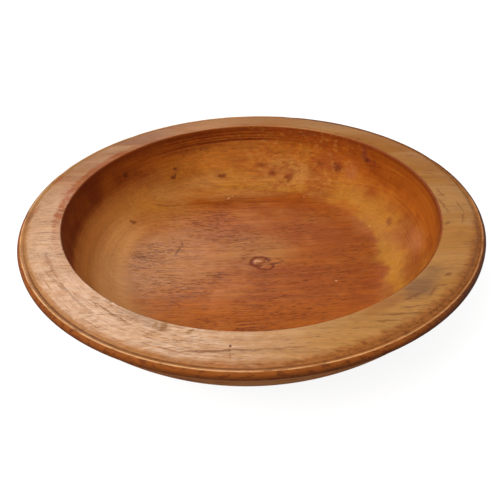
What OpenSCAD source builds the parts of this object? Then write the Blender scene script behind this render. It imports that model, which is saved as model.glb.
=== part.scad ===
// Wide-rimmed wooden dough bowl, turned in one piece from a single blank.
// The whole bowl is one profile, swept once round its upright axis: rim, moulded
// edge, hollow and underside. Millimetres, +Z up, with the origin at the middle of
// the resting face. The grain of the wood runs along X.

/* [Overall] */
// Diameter over the beaded edge
bowl_d = 450; // [360:5:700]
// Height from the resting face to the top of the rim
bowl_h = 92; // [78:1:130]

/* [Rim] */
// Width of the rim, from the mouth of the hollow to the outer edge
rim_w = 40.5; // [32:0.5:52]
// Height by which the rim's top is crowned between its lip and its shoulder
rim_crown = 0.5; // [0.2:0.1:1.2]
// Radius of the lip where the rim's top turns down into the hollow
lip_r = 2; // [1.5:0.25:6]

/* [Moulded edge] */
// Radius of the bead that runs round the outer edge
bead_r = 3.4; // [2.2:0.1:3.6]
// How far the bead's crest lies below the top of the rim
bead_drop = 2.2; // [1:0.1:4]
// Depth of the fine quirk beside the bead, below the bead's crest
quirk_d = 1.2; // [0.5:0.1:1.8]
// Width of the hollowed shoulder that falls from the rim's top to the quirk
shoulder_w = 5.2; // [4:0.2:9]
// Height of the edge, from the bead's crest down to its lower corner
edge_h = 6.4; // [5.4:0.1:9]
// Radius of the edge's lower corner
edge_r = 1.2; // [0.6:0.1:1.6]
// How far the underside is set in behind the edge
edge_step = 2; // [1.8:0.1:4]

/* [Hollow] */
// Thickness of the floor at its centre
floor_t = 16; // [10:0.5:22]
// How much the floor rises from its centre to the foot of the wall
floor_dish = 2.5; // [1:0.5:5]
// How far the wall's curve reaches in, from the mouth to the floor
cove_w = 55; // [46:1:66]

/* [Underside] */
// Thickness of the wall below the lip, which the belly of the underside follows
wall_t = 14; // [12:0.5:22]
// How far the resting face's edge lies in from the foot of the hollow's wall
foot_in = 3; // [0:0.5:8]
// Radius of the corner between the underside and the resting face
foot_r = 6; // [3:0.5:10]
// Width of the ring that the bowl stands on
foot_land = 20; // [12:1:26]
// Depth of the slight hollow inside that ring
foot_hollow = 1.2; // [0.6:0.1:2]
// Width of the slope between the ring and the slight hollow
foot_slope_w = 9; // [6:1:14]
// Slope of the underside where it meets the resting face, from the level
foot_flare = 17; // [12:1:22]

/* [Hidden] */

// Facets round the axis, and steps along each curve of the profile
round_facets = 180;
long_steps = 22;
short_steps = 9;

// Handle lengths of the profile's curves, as shares of the curve's drop, run or wall
wall_fall_share = 0.7;
wall_foot_share = 0.6;
floor_share = 0.5;
belly_drop_share = 0.25;
belly_foot_share = 0.6;
rim_share = 0.25;
shoulder_share = 0.5;

// Radii and heights that the profile passes through
bowl_r = bowl_d / 2;
mouth_r = bowl_r - rim_w;
crest_r = bowl_r - bead_r;
crest_z = bowl_h - bead_drop;
bead_z = crest_z - bead_r;
quirk_z = crest_z - quirk_d;
quirk_r = crest_r - sqrt(bead_r * bead_r - pow(bead_r - quirk_d, 2));
shoulder_r = quirk_r - shoulder_w;
rim_z = bowl_h - rim_crown;
lip_z = rim_z - lip_r;
edge_z = crest_z - edge_h;
floor_r = mouth_r - cove_w;
floor_z = floor_t + floor_dish;
base_r = floor_r - foot_in;
land_r = base_r - foot_land;
hollow_r = land_r - foot_slope_w;

// Point at share t of the cubic curve with ends a and d and handles b and c
function bend(a, b, c, d, t) =
    pow(1 - t, 3) * a + 3 * t * pow(1 - t, 2) * b + 3 * t * t * (1 - t) * c + pow(t, 3) * d;

// The points of that curve, from a to d
function sweep(a, b, c, d, steps) = [for (i = [0 : steps]) bend(a, b, c, d, i / steps)];

// The points of an arc round a centre, from one angle to another
function arc(centre, r, from, to, steps) =
    [for (i = [0 : steps]) centre + r * unit(from + (to - from) * i / steps)];

// A step of length one in the direction of an angle
function unit(angle) = [cos(angle), sin(angle)];

// Direction in which the floor meets the wall, the slope of a shallow dish there
floor_way = unit(atan(2 * floor_dish / floor_r));

// Handles of the wall's curve: upright under the lip, and level at the floor
wall_fall = [mouth_r, lip_z - (lip_z - floor_z) * wall_fall_share];
wall_foot = [floor_r, floor_z] + (cove_w * wall_foot_share) * floor_way;

// Nearly flat middle of the floor, out over its slight dish to the foot of the wall
function floor_curve() = sweep(
    [0, floor_t],
    [floor_r * floor_share, floor_t],
    [floor_r, floor_z] - (floor_r * floor_share) * floor_way,
    [floor_r, floor_z],
    short_steps);

// Broad cove at the foot of the wall, and the steep wall up to the lip
function wall_curve() =
    sweep([floor_r, floor_z], wall_foot, wall_fall, [mouth_r, lip_z], long_steps);

// Rounded lip of the mouth, and the crowned top of the rim out to its shoulder
function lip_curve() = arc([mouth_r + lip_r, lip_z], lip_r, 180, 90, short_steps);

function rim_curve() = let(
        inner_r = mouth_r + lip_r,
        handle_w = (shoulder_r - inner_r) * rim_share,
        handle_z = rim_z + rim_crown * 4 / 3) sweep(
    [inner_r, rim_z],
    [inner_r + handle_w, handle_z],
    [shoulder_r - handle_w, handle_z],
    [shoulder_r, rim_z],
    short_steps);

// Shoulder: it rounds over from the rim's top and hollows out into the quirk
function shoulder_curve() = sweep(
    [shoulder_r, rim_z],
    [shoulder_r + shoulder_w * shoulder_share, rim_z],
    [quirk_r - shoulder_w * shoulder_share, quirk_z],
    [quirk_r, quirk_z],
    short_steps);

// Bead, from the quirk over its crest to the upright face of the edge
function bead_curve() =
    arc([crest_r, bead_z], bead_r, 180 - asin((bead_r - quirk_d) / bead_r), 0, short_steps);

// Lower corner of the edge, turning under to where the underside starts
function edge_curve() = concat(
    arc([bowl_r - edge_r, edge_z + edge_r], edge_r, 0, -90, short_steps),
    [[bowl_r - edge_step, edge_z]]);

// Full belly of the underside, from behind the edge in to the foot's corner. Its
// handles lie one wall's thickness outside those of the hollow's wall
function belly_curve() = let(
        foot = [base_r, foot_r] + foot_r * unit(foot_flare - 90),
        reach = wall_foot.x + wall_t * belly_foot_share - foot.x) sweep(
    [bowl_r - edge_step, edge_z],
    wall_fall + wall_t * [1, -belly_drop_share],
    foot + reach * [1, tan(foot_flare)],
    foot,
    long_steps);

// Rounded corner on to the resting ring
function foot_curve() = arc([base_r, foot_r], foot_r, foot_flare - 90, -90, short_steps);

// Slight hollow inside the ring, so that the bowl can't rock on its middle
function hollow_curve() = sweep(
    [land_r, 0],
    [(land_r + hollow_r) / 2, 0],
    [(land_r + hollow_r) / 2, foot_hollow],
    [hollow_r, foot_hollow],
    short_steps);

// Half of the bowl's cross-section, from the middle of the floor and round the rim
module half_section()
    polygon(concat(
        floor_curve(),
        wall_curve(),
        lip_curve(),
        rim_curve(),
        shoulder_curve(),
        bead_curve(),
        edge_curve(),
        belly_curve(),
        foot_curve(),
        hollow_curve(),
        [[0, foot_hollow]]));

module bowl()
    color("peru")
        rotate_extrude($fn = round_facets)
            half_section();

bowl();
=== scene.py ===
from math import acos, atan, cos, degrees, exp, hypot, pi, radians, sin, sqrt, tan
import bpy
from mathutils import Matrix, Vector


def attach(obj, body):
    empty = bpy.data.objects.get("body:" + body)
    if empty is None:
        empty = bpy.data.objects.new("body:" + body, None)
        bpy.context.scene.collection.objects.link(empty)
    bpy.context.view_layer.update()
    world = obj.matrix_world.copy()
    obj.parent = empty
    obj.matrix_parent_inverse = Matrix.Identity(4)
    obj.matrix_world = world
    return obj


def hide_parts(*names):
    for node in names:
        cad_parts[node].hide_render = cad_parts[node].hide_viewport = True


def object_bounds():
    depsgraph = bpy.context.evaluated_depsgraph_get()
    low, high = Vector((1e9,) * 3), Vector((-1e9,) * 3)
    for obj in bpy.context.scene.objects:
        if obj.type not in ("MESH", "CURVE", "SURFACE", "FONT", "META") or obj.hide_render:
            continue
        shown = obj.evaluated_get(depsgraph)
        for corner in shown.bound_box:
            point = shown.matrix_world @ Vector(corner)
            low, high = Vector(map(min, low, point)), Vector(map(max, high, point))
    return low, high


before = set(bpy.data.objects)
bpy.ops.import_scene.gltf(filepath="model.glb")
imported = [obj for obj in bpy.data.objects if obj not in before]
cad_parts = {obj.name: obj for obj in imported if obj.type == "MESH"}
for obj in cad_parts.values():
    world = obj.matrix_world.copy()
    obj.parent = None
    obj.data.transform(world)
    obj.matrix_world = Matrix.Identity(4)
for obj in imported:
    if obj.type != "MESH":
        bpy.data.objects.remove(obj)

from types import SimpleNamespace
import bmesh
import bpy
from mathutils import Matrix, Vector, noise

cadLow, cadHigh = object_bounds()
print("frame loaded")


# The camera, as the photograph has it. Its picture is 500 pixels square.
view = {
    "distance": 0.5398,      # from the middle of the bead's ring
    "elevation": 31.1,       # where the camera stands above that ring, in degrees
    "pitch": 36.37,          # how far it looks down
    "yaw": -0.19,
    "roll": 1.73,
    "focalPixels": 530,
    "picturePixels": 500,
    "sensor": 36,
}


def makeCamera(beadHeight):
    data = bpy.data.cameras.new("photoCamera")
    data.sensor_width = view["sensor"]
    data.lens = view["sensor"] * view["focalPixels"] / view["picturePixels"]
    data.dof.use_dof = False
    camera = bpy.data.objects.new("photoCamera", data)
    up = radians(view["elevation"])
    place = Vector((0, -cos(up), sin(up))) * view["distance"] + Vector((0, 0, beadHeight))
    turn = (Matrix.Rotation(radians(-view["yaw"]), 4, "Z")
            @ Matrix.Rotation(radians(90 - view["pitch"]), 4, "X")
            @ Matrix.Rotation(radians(-view["roll"]), 4, "Z"))
    camera.matrix_world = Matrix.Translation(place) @ turn
    bpy.context.collection.objects.link(camera)
    bpy.context.scene.camera = camera


# The bowl. Its outer radius and height are the frame's, the rest are its own sizes in metres.
bowl = {
    "rimWidth": 0.0405,
    "rimCrown": 0.0005,
    "lipRadius": 0.002,
    "beadRadius": 0.0034,
    "beadDrop": 0.0022,
    "quirkDepth": 0.0012,
    "shoulderWidth": 0.0052,
    "edgeHeight": 0.0064,
    "edgeRadius": 0.0012,
    "edgeStep": 0.002,
    "floorThickness": 0.016,
    "floorDish": 0.0025,
    "coveWidth": 0.055,
    "wallThickness": 0.014,
    "footInset": 0.003,
    "footRadius": 0.006,
    "footLand": 0.02,
    "footHollow": 0.0012,
    "footSlope": 0.009,
    "footFlare": 17,         # degrees
    "columns": 400,          # round the bowl
    "centreRing": 0.03,      # radius of the finely divided middle, which carries the knot
}

# Handle lengths of the outline's curves, as shares of the curve's run or drop or of the wall
handles = {
    "floor": 0.5,
    "wallFoot": 0.6,
    "wallFall": 0.7,
    "rim": 0.25,
    "shoulder": 0.5,
    "bellyDrop": 0.25,
    "bellyFoot": 0.6,
}

# Steps along each stretch of the outline. The floor and the wall are drawn finely first, and
# points are left out where there is neither the middle knot nor a gouge groove.
steps = {"floor": 300, "wall": 120, "lip": 8, "rim": 16, "shoulder": 10, "bead": 12, "edge": 5,
         "belly": 44, "foot": 5, "land": 5, "hollow": 6, "middle": 8}
grooveStep = 84              # of the wall, from where every point is kept

outerRadius = (cadHigh.x - cadLow.x) / 2
bowlHeight = cadHigh.z
mouthRadius = outerRadius - bowl["rimWidth"]
crestRadius = outerRadius - bowl["beadRadius"]
crestHeight = bowlHeight - bowl["beadDrop"]
rimHeight = bowlHeight - bowl["rimCrown"]
quirkHeight = crestHeight - bowl["quirkDepth"]
quirkRise = bowl["beadRadius"] - bowl["quirkDepth"]      # the quirk's height over the bead's middle
quirkRadius = crestRadius - sqrt(bowl["beadRadius"] ** 2 - quirkRise ** 2)
shoulderRadius = quirkRadius - bowl["shoulderWidth"]
edgeBottom = crestHeight - bowl["edgeHeight"]
floorRadius = mouthRadius - bowl["coveWidth"]
floorHeight = bowl["floorThickness"] + bowl["floorDish"]


def bend(a, b, c, d, count):
    # points of a cubic curve from a to d, with handles b and c
    points = []
    for i in range(count + 1):
        t = i / count
        s = 1 - t
        points.append(s ** 3 * a + 3 * t * s * s * b + 3 * t * t * s * c + t ** 3 * d)
    return points


def arc(centre, radius, start, end, count):
    turns = [radians(start + (end - start) * i / count) for i in range(count + 1)]
    return [centre + radius * Vector((cos(t), sin(t))) for t in turns]


def straight(a, b, count):
    return [a.lerp(b, i / count) for i in range(count + 1)]


def bowlOutline():
    # half of the cross-section as (radius, height), from the floor's middle round the rim
    lip = rimHeight - bowl["lipRadius"]
    slope = atan(2 * bowl["floorDish"] / floorRadius)
    floorWay = Vector((cos(slope), sin(slope)))
    floorReach = floorRadius * handles["floor"]
    floorEnd = Vector((floorRadius, floorHeight))
    wallTop = Vector((mouthRadius, lip))
    wallFoot = floorEnd + floorWay * bowl["coveWidth"] * handles["wallFoot"]
    wallFall = wallTop - Vector((0, (lip - floorHeight) * handles["wallFall"]))
    floor = bend(Vector((0, bowl["floorThickness"])), Vector((floorReach, bowl["floorThickness"])),
                 floorEnd - floorWay * floorReach, floorEnd, steps["floor"])
    fine = [p for p in floor if p.x < bowl["centreRing"]][::2]
    coarse = [p for p in floor if p.x >= bowl["centreRing"]][::7]
    wall = bend(floorEnd, wallFoot, wallFall, wallTop, steps["wall"])
    wall = wall[:grooveStep:3] + wall[grooveStep:]

    rimStart = Vector((mouthRadius + bowl["lipRadius"], rimHeight))
    rimEnd = Vector((shoulderRadius, rimHeight))
    lipCurve = arc(rimStart - Vector((0, bowl["lipRadius"])), bowl["lipRadius"], 180, 90,
                   steps["lip"])
    handle = Vector(((shoulderRadius - rimStart.x) * handles["rim"], 0))
    crown = Vector((0, bowl["rimCrown"] * 4 / 3))       # lifts the curve's middle by the crown
    rim = bend(rimStart, rimStart + handle + crown, rimEnd - handle + crown, rimEnd, steps["rim"])
    handle = Vector((bowl["shoulderWidth"] * handles["shoulder"], 0))
    quirk = Vector((quirkRadius, quirkHeight))
    shoulder = bend(rimEnd, rimEnd + handle, quirk - handle, quirk, steps["shoulder"])
    start = 90 + degrees(acos(quirkRise / bowl["beadRadius"]))
    bead = arc(Vector((crestRadius, crestHeight - bowl["beadRadius"])), bowl["beadRadius"],
               start, 0, steps["bead"])

    behind = Vector((outerRadius - bowl["edgeStep"], edgeBottom))
    edge = arc(Vector((outerRadius - bowl["edgeRadius"], edgeBottom + bowl["edgeRadius"])),
               bowl["edgeRadius"], 0, -90, steps["edge"]) + [behind]
    base = floorRadius - bowl["footInset"]
    flare = radians(bowl["footFlare"])
    corner = Vector((base, bowl["footRadius"]))
    foot = corner + bowl["footRadius"] * Vector((sin(flare), -cos(flare)))
    reach = wallFoot.x + bowl["wallThickness"] * handles["bellyFoot"] - foot.x
    belly = bend(behind, wallFall + bowl["wallThickness"] * Vector((1, -handles["bellyDrop"])),
                 foot + reach * Vector((1, tan(flare))), foot, steps["belly"])
    footCurve = arc(corner, bowl["footRadius"], bowl["footFlare"] - 90, -90, steps["foot"])
    landEnd = base - bowl["footLand"]
    slopeEnd = landEnd - bowl["footSlope"]
    halfway = (landEnd + slopeEnd) / 2
    land = straight(Vector((base, 0)), Vector((landEnd, 0)), steps["land"])
    hollow = bend(Vector((landEnd, 0)), Vector((halfway, 0)), Vector((halfway, bowl["footHollow"])),
                  Vector((slopeEnd, bowl["footHollow"])), steps["hollow"])
    middle = straight(hollow[-1], Vector((0, bowl["footHollow"])), steps["middle"])
    stretches = {"floor": fine + coarse, "wall": wall, "lip": lipCurve, "rim": rim,
                 "shoulder": shoulder, "bead": bead, "edge": edge, "belly": belly,
                 "foot": footCurve + land, "hollow": hollow + middle}
    points, lengths, ends = [], [], {}
    for name, stretch in stretches.items():
        for p in stretch:
            if not points:
                points, lengths = [p], [0.0]
            elif (p - points[-1]).length > 0.00002:
                lengths.append(lengths[-1] + (p - points[-1]).length)
                points.append(p)
        ends[name] = lengths[-1]
    return points, lengths, ends


outlinePoints, outlineLengths, outlineEnds = bowlOutline()


# Knots: place on the bowl, half sizes along and across the grain, strength. The first is the
# one in the middle of the floor, whose curls of dark bark follow below.
knots = [
    {"at": (0.0095, -0.0065, 0.016), "size": (0.014, 0.012), "depth": 0.28},
    {"at": (-0.1495, 0.107, 0.0668), "size": (0.0056, 0.0052), "depth": 1.15},
    {"at": (-0.0985, 0.145, 0.042), "size": (0.008, 0.0045), "depth": 1},
    {"at": (-0.0965, 0.1515, 0.0495), "size": (0.0066, 0.004), "depth": 0.95},
    {"at": (-0.037, 0.162, 0.032), "size": (0.0086, 0.0042), "depth": 1},
    {"at": (0.017, 0.173, 0.041), "size": (0.0103, 0.006), "depth": 0.75},
    {"at": (0.0305, 0.165, 0.033), "size": (0.008, 0.006), "depth": 0.8},
    {"at": (0.052, 0.1555, 0.03), "size": (0.0075, 0.006), "depth": 0.75},
    {"at": (0.0915, 0.154, 0.051), "size": (0.0057, 0.006), "depth": 0.7},
    {"at": (0.113, 0.1395, 0.051), "size": (0.0063, 0.0072), "depth": 0.9},
    {"at": (0.144, 0.116, 0.0725), "size": (0.0044, 0.0046), "depth": 1},
    {"at": (0.1395, 0.1215, 0.08), "size": (0.0022, 0.0064), "depth": 0.7},
    {"at": (-0.14, 0.068, 0.0245), "size": (0.0057, 0.0036), "depth": 1},
    {"at": (0.1585, 0.044, 0.03), "size": (0.004, 0.0096), "depth": 0.7},
]

# Curls: middle, half sizes, share of the radius that the line is wide, strength, and the side
# on which the curl is open, with how far round it opens (1 is not at all)
curls = [
    {"at": (0.0093, -0.0055), "size": (0.0096, 0.0082), "width": 0.24, "share": 0.88,
     "open": (0.8, -0.6), "from": 0.6},
    {"at": (0.0152, -0.0132), "size": (0.0082, 0.0062), "width": 0.22, "share": 0.8,
     "open": (-0.45, 0.9), "from": -0.1},
    {"at": (0.0100, -0.0050), "size": (0.0050, 0.0036), "width": 0.3, "share": 0.5,
     "open": (-0.3, 0.9), "from": 0.1},
]

# Grooves that the gouge left under the far lip: how far below the rim's top, half width, depth
grooves = [
    {"below": 0.0069, "width": 0.0010, "depth": 0.0005},
    {"below": 0.0112, "width": 0.0009, "depth": 0.0005},
    {"below": 0.0148, "width": 0.0006, "depth": 0.0003},
    {"below": 0.0188, "width": 0.0017, "depth": 0.0006},
]

# Small knocks on the bead: place round the bowl in degrees, half length, depth
beadKnocks = [
    (208, 0.006, 0.0006), (232, 0.004, 0.0005), (246, 0.009, 0.0004), (263, 0.005, 0.0006),
    (281, 0.004, 0.0004), (297, 0.007, 0.0006), (314, 0.004, 0.0007), (331, 0.006, 0.0004),
    (349, 0.005, 0.0006), (22, 0.007, 0.0005), (75, 0.006, 0.0005), (131, 0.008, 0.0006),
    (160, 0.005, 0.0006), (184, 0.004, 0.0005),
]

# What drying, sanding by hand and use did to the turned shape, in metres
wear = {
    "dried": 0.0007,                # how much lower the rim lies across the grain
    "waves": ((14, 0.00022), (45, 0.00008)),    # of sanding: how many to a metre, and their height
    "hollowWaves": 1.6,             # times those, on the floor and the wall
    "rimWaves": 1.2,                # and on the rim
    "grooveWaver": (9, 0.0006),
    "groovesRight": (0.09, 0),      # X between which the grooves come in from the right
    "groovesLeft": (-0.16, -0.08),  # and from the left
    "groovesFar": (0, 0.5),         # and how far round towards the far side, of 1
    "quirkFilled": 0.9,             # share of the quirk that has worn away at the left
    "quirkMoved": 0.0015,           # how much nearer the bead's crest it lies at the right
    "wornFrom": (-0.11, -0.18),     # X between which the quirk wears away
    "wornBehind": (-0.13, -0.07),   # and Y, so that the front keeps it
    "tightFrom": (0.11, 0.19),      # X between which it draws nearer the bead
    "beadLoss": 0.00012,            # off the bead's crest all round
    "beadWaver": (60, 0.0001),
    "beadReach": 0.003,             # how far from the crest that loss still tells
    "knotDent": 0.00035,            # a knot's sunken middle
    "knotRing": 0.0002,             # and the raised ring round it
    "curlDepth": 0.0003,            # bark lines of the middle knot
    "curlWaver": (220, 0.12),
    "heartAt": (0.0065, -0.0048),   # the raised heart of the middle knot
    "heartSize": (0.0052, 0.0036),
    "heartHeight": 0.0007,
}


def swell(distance, reach):
    return exp(-(distance / reach) ** 2)


def ramp(value, low, high):
    return min(1, max(0, (value - low) / (high - low)))


def waver(point, count, height):
    # up or down by as much as the height, with so many waves to a metre
    return noise.noise(point * count) * height


def wornPoint(point):
    # the point of the turned shape as drying, use and sanding by hand have left it
    r = hypot(point.x, point.y)
    out = Vector((point.x, point.y, 0)) / r if r > 1e-6 else Vector((0, 0, 0))
    moved = point.copy()
    across = (out.y ** 2) * (r / outerRadius) ** 2
    moved.z -= wear["dried"] * across * point.z / bowlHeight
    wave = abs(sum(waver(point, *each) for each in wear["waves"]))
    inside = point.z > bowl["floorThickness"] - 0.001 and r < mouthRadius + 0.002
    if inside:
        steep = ramp(r, floorRadius, mouthRadius)
        away = out * steep - Vector((0, 0, 1 - steep))      # into the wood
        moved += away * (wave * wear["hollowWaves"])
    elif point.z > rimHeight - 0.0006:
        moved.z -= wave * wear["rimWaves"]
    if inside and point.z > bowlHeight - grooves[-1]["below"] - 0.002:
        drop = bowlHeight - point.z + waver(point, *wear["grooveWaver"])
        share = (ramp(point.x, *wear["groovesRight"]) * ramp(point.x, *wear["groovesLeft"])
                 * ramp(out.y, *wear["groovesFar"]))
        for groove in grooves:
            cut = groove["depth"] * swell(drop - groove["below"], groove["width"])
            moved += out * (cut * share)
    if shoulderRadius < r < crestRadius and point.z > quirkHeight - 0.0002:
        # the quirk is nearly gone at the left, and lies nearer the bead's crest at the right
        level = rimHeight + (crestHeight - rimHeight) * ramp(r, shoulderRadius, crestRadius)
        filled = ramp(point.x, *wear["wornFrom"]) * ramp(point.y, *wear["wornBehind"])
        moved.z += wear["quirkFilled"] * filled * max(0, level - point.z)
        share = ramp(r, shoulderRadius, quirkRadius) * ramp(r, crestRadius, quirkRadius)
        moved += out * (wear["quirkMoved"] * share * ramp(point.x, *wear["tightFrom"]))
    beadNear = swell(hypot(r - crestRadius, point.z - crestHeight + 0.001), wear["beadReach"])
    if beadNear > 0.05:
        loss = wear["beadLoss"] + waver(point, *wear["beadWaver"])
        for angle, length, depth in beadKnocks:
            spot = Vector((cos(radians(angle)), sin(radians(angle)), 0)) * crestRadius
            gap = (Vector((point.x, point.y, 0)) - spot).length
            loss += depth * swell(gap, length)
        moved -= (out * 0.6 + Vector((0, 0, 0.8))) * (loss * beadNear)
    if inside:
        for knot in knots[1:]:
            gap = (point - Vector(knot["at"])).length / max(knot["size"])
            if gap < 2.5:
                dent = wear["knotDent"] * swell(gap, 0.5) - wear["knotRing"] * swell(gap - 1, 0.4)
                moved += away * (dent * knot["depth"])
        if r < bowl["centreRing"]:
            moved.z += middleKnot(point)
    return moved


def spread(point, middle, size):
    # how far a point lies from a middle, in shares of a size along and across the grain
    return Vector(((point.x - middle[0]) / size[0], (point.y - middle[1]) / size[1]))


def middleKnot(point):
    # how much higher the floor is at its knot: sunken bark lines round a raised heart
    ripple = waver(point, *wear["curlWaver"])
    heartGap = spread(point, wear["heartAt"], wear["heartSize"]).length
    height = wear["heartHeight"] * swell(heartGap, 0.9)
    for curl in curls:
        away = spread(point, curl["at"], curl["size"])
        side = away.dot(Vector(curl["open"]).normalized())
        shut = 1 - ramp(side, curl["from"], curl["from"] + 1 / 3)
        height -= wear["curlDepth"] * shut * swell(away.length - 1 + ripple, curl["width"])
    return height


def makeBowl():
    bm = bmesh.new()
    along = bm.verts.layers.float.new("along")       # how far round the outline a point lies
    outline = [bm.verts.new((p.x, 0, p.y)) for p in outlinePoints]
    for vert, length in zip(outline, outlineLengths):
        vert[along] = length
    edges = [bm.edges.new(pair) for pair in zip(outline, outline[1:])]
    bmesh.ops.spin(bm, geom=outline + edges, axis=(0, 0, 1), cent=(0, 0, 0), angle=2 * pi,
                   steps=bowl["columns"], use_merge=True)
    bmesh.ops.remove_doubles(bm, verts=bm.verts, dist=0.000002)
    bmesh.ops.recalc_face_normals(bm, faces=bm.faces)
    for vert in bm.verts:
        vert.co = wornPoint(vert.co)
    for face in bm.faces:
        face.smooth = True
    mesh = bpy.data.meshes.new("turnedBowl")
    bm.to_mesh(mesh)
    bm.free()
    piece = bpy.data.objects.new("turnedBowl", mesh)
    bpy.context.collection.objects.link(piece)
    print("bowl", len(mesh.vertices), "points")
    return piece


class Shader:
    # the nodes of a material, world or group, with a short call for each kind used here
    def __init__(self, tree):
        self.tree = tree
        self.tree.nodes.clear()

    def put(self, kind, inputs=None, **settings):
        node = self.tree.nodes.new("ShaderNode" + kind)
        for name, value in settings.items():
            setattr(node, name, value)
        for name, value in (inputs or {}).items():
            if isinstance(value, bpy.types.NodeSocket):
                self.tree.links.new(value, node.inputs[name])
            else:
                node.inputs[name].default_value = value
        return node

    def math(self, operation, a, b=0.0):
        return self.put("Math", {0: a, 1: b}, operation=operation).outputs[0]

    def add(self, first, *others):
        for other in others:
            first = self.math("ADD", first, other)
        return first

    def times(self, first, *others):
        for other in others:
            first = self.math("MULTIPLY", first, other)
        return first

    def less(self, a, b):
        return self.math("SUBTRACT", a, b)

    def most(self, a, b):
        return self.math("MAXIMUM", a, b)

    def apart(self, a, b):
        return self.math("ABSOLUTE", self.less(a, b))

    def fade(self, value, low, high, toLow=0.0, toHigh=1.0):
        node = self.put("MapRange", {"Value": value, "From Min": low, "From Max": high,
                                     "To Min": toLow, "To Max": toHigh},
                        interpolation_type="SMOOTHSTEP")
        return node.outputs[0]

    def stretch(self, vector, scale):
        return self.put("VectorMath", {0: vector, 1: scale}, operation="MULTIPLY").outputs[0]

    def shift(self, vector, other):
        return self.put("VectorMath", {0: vector, 1: other}, operation="ADD").outputs[0]

    def length(self, vector):
        return self.put("VectorMath", {0: vector}, operation="LENGTH").outputs["Value"]

    def joined(self, x, y=0.0, z=0.0):
        return self.put("CombineXYZ", {0: x, 1: y, 2: z}).outputs[0]

    def pattern(self, place, name):
        scale, detail, rough = patterns[name]
        return self.put("TexNoise", {"Vector": self.stretch(place, scale), "Scale": 1.0,
                                     "Detail": detail, "Roughness": rough}).outputs["Fac"]

    def shaken(self, place, spot, name):
        # a place moved a little to and fro, by a noise that reads the spot
        scale, reach, detail = raggedness[name]
        noises = self.put("TexNoise", {"Vector": self.stretch(spot, scale), "Scale": 1.0,
                                       "Detail": detail}).outputs["Color"]
        return self.shift(place, self.stretch(self.shift(noises, (-0.5, -0.5, -0.5)), reach))

    def cells(self, vector):
        node = self.put("TexVoronoi", {"Vector": vector, "Scale": 1.0}, feature="F1")
        return node.outputs["Distance"]

    def mix(self, share, first, second, way="MIX"):
        node = self.put("Mix", {0: share, 6: first, 7: second}, data_type="RGBA", blend_type=way)
        return node.outputs[2]

    def lay(self, tone, name, *shares):
        # one of the wood's colours over a tone, as much as all the shares together let through
        return self.mix(self.times(*shares), tone, wood[name])


def newMaterial(name):
    material = bpy.data.materials.new(name)
    material.use_nodes = True
    return material


def colour(red, green, blue):
    # a colour by its red, green and blue of 255, as Blender's linear values
    def linear(value):
        share = value / 255
        return share / 12.92 if share <= 0.04045 else ((share + 0.055) / 1.055) ** 2.4
    return (linear(red), linear(green), linear(blue), 1)


# How the wood's patterns are drawn: waves to a metre along X, Y and Z, then detail and roughness
patterns = {
    "broad": ((4, 26, 26), 3, 0.55),
    "streak": ((6, 95, 95), 4, 0.6),
    "fibre": ((10, 420, 420), 4, 0.65),
    "fine": ((40, 1700, 1700), 3, 0.6),
    "scratch": ((22, 390, 390), 4, 0.68),
    "speckle": ((110, 330, 330), 4, 0.65),
    "cloud": ((14, 20, 20), 4, 0.6),
    "mottle": ((75, 75, 75), 4, 0.6),
    "flow": ((22, 30, 30), 5, 0.65),
    "film": ((80, 120, 120), 6, 0.72),
    "flecks": ((190, 260, 260), 3, 0.6),
    "scales": ((110, 110, 190), 4, 0.65),
    "crowd": ((16, 34, 34), 2, 0.5),        # where pores lie close together
    "waver": ((12, 20, 0), 2, 0.5),         # of the heartwood's edge
    "rings": ((420, 60, 1), 3, 0.65),       # out from the log's middle
    "bands": ((210, 0, 0), 3, 0.6),         # along the outline
    "turning": ((520, 0, 0), 3, 0.7),       # the same, and finer
    "scuffs": ((1, 1, 1), 5, 0.7),
}

# How uneven outlines are drawn: waves to a metre, how far they reach in metres, then detail
raggedness = {
    "drift": ((5, 10, 10), (0, 0.012, 0.01), 3),
    "ragged": ((130, 130, 130), (0.006, 0.005, 0.005), 3),
    "frayed": ((30, 110, 110), (0.022, 0.012, 0.012), 4),
    "torn": ((70, 110, 110), (0.014, 0.012, 0.012), 4),
    "gnarled": ((320, 320, 320), (0.012, 0.009, 0.009), 3),
    "curled": ((420, 420, 420), (0.0022, 0.0022, 0), 2),
}

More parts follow.
